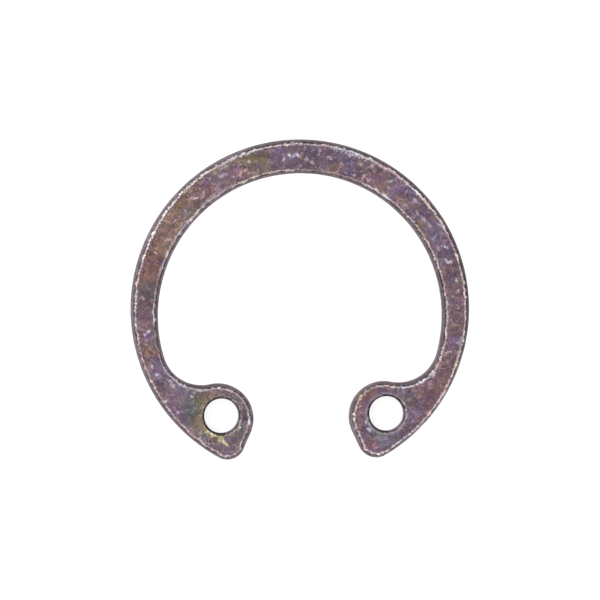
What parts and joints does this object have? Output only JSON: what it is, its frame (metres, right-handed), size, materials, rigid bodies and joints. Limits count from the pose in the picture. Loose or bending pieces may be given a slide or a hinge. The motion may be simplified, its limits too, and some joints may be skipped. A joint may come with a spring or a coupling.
{
  "type": "retaining ring",
  "caption": "Flat open ring of spring steel with a pierced lug at each end, squeezed with pliers and let go in the groove of a bore to hold a part in it.",
  "frame": {"origin": "centre of the ring's outer edge, halfway through its thickness", "axes": "+Z along the axis of the bore that the ring seats in, out of the face with the rounder edges; the gap between the lugs faces -Y; +X to the right as seen from above"},
  "size_m": [0.0194, 0.0183, 0.001],
  "materials": {
    "steel": "tumbled and tempered spring steel, brown to violet, satin, with bare bright edges"
  },
  "bodies": {
    "root": {"retaining_ring": "steel"}
  },
  "joints": []
}
